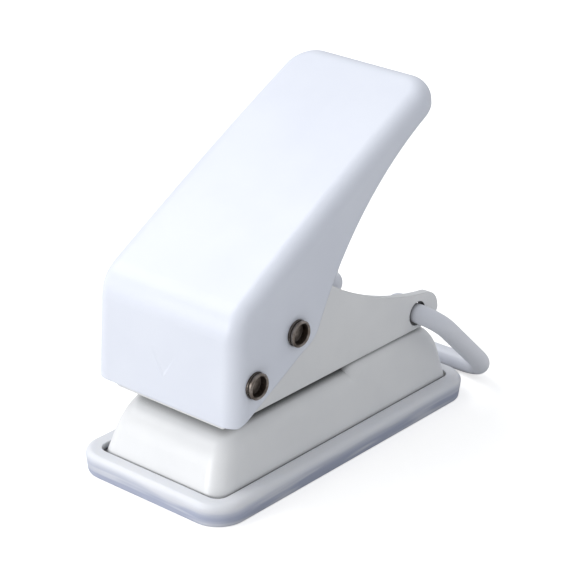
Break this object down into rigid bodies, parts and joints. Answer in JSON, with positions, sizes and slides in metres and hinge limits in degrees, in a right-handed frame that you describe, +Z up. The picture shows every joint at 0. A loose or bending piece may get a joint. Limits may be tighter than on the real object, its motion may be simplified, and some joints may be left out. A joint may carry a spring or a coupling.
{
  "type": "corner rounder",
  "caption": "Small lever-operated paper corner rounder: pressed base with chip tray, riveted bracket, sprung cutter under a hollow lever, and a hang loop.",
  "frame": {"origin": "centre of the chip tray's underside, on the table", "axes": "+X across the width, -Y towards the front where the paper goes in, +Y towards the hang loop, +Z up"},
  "size_m": [0.0368, 0.0761, 0.0622],
  "materials": {
    "tray_plastic": "frosted translucent soft plastic, faint lavender tint",
    "white_paint": "white stoved paint on pressed sheet steel, semi-gloss",
    "tool_steel": "ground and hardened",
    "pin_steel": "dark plated steel, bored ends with bright rims",
    "zinc_steel": "zinc plated",
    "spring_wire": "drawn spring wire",
    "white_plastic": "glossy white moulding",
    "nylon": "natural nylon",
    "loop_plastic": "semi-matt soft white moulding"
  },
  "bodies": {
    "frame": {"chip_tray": "tray_plastic", "base_plate": "white_paint", "die_plate": "tool_steel", "die_rivet_1": "zinc_steel", "die_rivet_2": "zinc_steel", "paper_guide": "tool_steel", "bracket": "white_paint", "frame_rivet_1": "zinc_steel", "frame_rivet_2": "zinc_steel", "frame_rivet_3": "zinc_steel", "frame_rivet_4": "zinc_steel", "punch_guide": "tool_steel", "guide_rivet_1": "zinc_steel", "guide_rivet_2": "zinc_steel", "guide_rivet_3": "zinc_steel", "guide_rivet_4": "zinc_steel", "spring_seat": "zinc_steel", "return_spring": "spring_wire", "pivot_pin": "pin_steel", "pivot_washer_left": "nylon", "pivot_washer_right": "nylon"},
    "lever": {"handle": "white_plastic", "drive_pin": "pin_steel", "drive_washer_left": "nylon", "drive_washer_right": "nylon"},
    "punch": {"plunger": "white_plastic", "cutter": "tool_steel", "cutter_pin": "pin_steel"},
    "bail": {"hang_loop": "loop_plastic"}
  },
  "joints": [
    {"name": "lever_hinge", "type": "hinge", "parent": "frame", "child": "lever", "pos_m": [0, -0.025, 0.0231], "axis": [-1, 0, 0], "range_deg": [0, 18], "stiffness_Nm_per_rad": 0.095, "springref_deg": -20.97},
    {"name": "punch_slide", "type": "slide", "parent": "frame", "child": "punch", "axis": [0, 0, -1], "range_m": [0, 0.0035], "deforming": ["return_spring"]},
    {"name": "loop_hinge", "type": "hinge", "parent": "frame", "child": "bail", "pos_m": [0, 0.0227, 0.0183], "axis": [1, 0, 0], "range_deg": [0, 95]}
  ],
  "couplings": [
    {"joint": "punch_slide", "follows": "lever_hinge", "m_per_rad": 0.01092}
  ]
}
